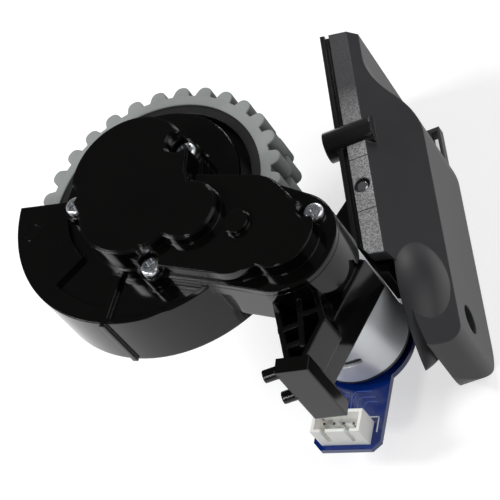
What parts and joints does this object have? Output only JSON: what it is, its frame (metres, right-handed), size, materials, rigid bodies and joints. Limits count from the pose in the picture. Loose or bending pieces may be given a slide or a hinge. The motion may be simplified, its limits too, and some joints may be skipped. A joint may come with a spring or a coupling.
{
  "type": "robot vacuum drive wheel module",
  "caption": "Drive wheel module of a robot vacuum: lugged wheel in a geared swing arm with motor, encoder board and socket, hung on a pivot bracket.",
  "frame": {"origin": "wheel centre: axle axis at the middle of the tyre width", "axes": "+Z along the axle towards the gear case cover, +X towards the outer skin of the pivot bracket, +Y along the bracket towards its narrow end"},
  "size_m": [0.0953, 0.1072, 0.065],
  "materials": {
    "black_gloss_plastic": "glossy",
    "dark_matte_plastic": "matte, fine texture",
    "grey_rubber": "matte",
    "hub_plastic": "satin",
    "white_acetal": "satin",
    "steel": "ground",
    "zinc_plated_steel": "zinc plated",
    "nickel_plated_steel": "satin plated",
    "sintered_bronze": "satin",
    "ferrite": "matte",
    "copper": "enamelled wire",
    "brass": "satin",
    "black_pbt": "satin",
    "blue_board": "solder mask",
    "white_nylon": "satin",
    "tinned_copper": "tin plated",
    "silicon_steel": "laminated"
  },
  "bodies": {
    "bracket": {"bracket_cover": "dark_matte_plastic", "hinge_pin": "steel", "hinge_clip": "steel"},
    "arm": {"gear_case": "black_gloss_plastic", "gear_case_cover": "black_gloss_plastic", "cover_screws": "zinc_plated_steel", "axle_pin": "steel", "axle_clip": "steel", "gear_shaft_1": "steel", "gear_shaft_2": "steel", "gear_shaft_3": "steel", "motor_can": "nickel_plated_steel", "motor_end_cap": "black_pbt", "motor_magnets": "ferrite", "motor_front_bush": "sintered_bronze", "motor_rear_bush": "sintered_bronze", "motor_brushes": "brass", "motor_screws": "zinc_plated_steel", "encoder_board": "blue_board", "connector_housing": "white_nylon", "connector_pins": "tinned_copper"},
    "wheel": {"wheel_hub": "hub_plastic", "tyre": "grey_rubber", "hub_bushes": "sintered_bronze"},
    "gear_1": {"compound_gear_1": "white_acetal"},
    "gear_2": {"compound_gear_2": "white_acetal"},
    "gear_3": {"compound_gear_3": "white_acetal"},
    "rotor": {"motor_shaft": "steel", "motor_pinion": "brass", "rotor_core": "silicon_steel", "rotor_windings": "copper", "commutator": "copper", "encoder_magnet": "ferrite"}
  },
  "joints": [
    {"name": "arm_swing", "type": "hinge", "parent": "bracket", "child": "arm", "pos_m": [0.0455, -0.003, -0.0206], "axis": [0, 0, 1], "range_deg": [-78, 2]},
    {"name": "wheel_spin", "type": "hinge", "parent": "arm", "child": "wheel", "pos_m": [0, 0, 0], "axis": [0, 0, 1], "continuous": true},
    {"name": "gear_3_spin", "type": "hinge", "parent": "arm", "child": "gear_3", "pos_m": [0, -0.0096, 0.01], "axis": [0, 0, 1], "continuous": true},
    {"name": "gear_2_spin", "type": "hinge", "parent": "arm", "child": "gear_2", "pos_m": [0.01269, -0.0164, 0.014], "axis": [0, 0, 1], "continuous": true},
    {"name": "gear_1_spin", "type": "hinge", "parent": "arm", "child": "gear_1", "pos_m": [0.02386, -0.02344, 0.0125], "axis": [0, 0, 1], "continuous": true},
    {"name": "rotor_spin", "type": "hinge", "parent": "arm", "child": "rotor", "pos_m": [0.03269, -0.02957, -0.009], "axis": [0, 0, 1], "continuous": true}
  ],
  "couplings": [
    {"joint": "gear_1_spin", "follows": "rotor_spin", "ratio": -0.30303},
    {"joint": "gear_2_spin", "follows": "rotor_spin", "ratio": 0.11364},
    {"joint": "gear_3_spin", "follows": "rotor_spin", "ratio": -0.037879},
    {"joint": "wheel_spin", "follows": "rotor_spin", "ratio": -0.012626}
  ]
}
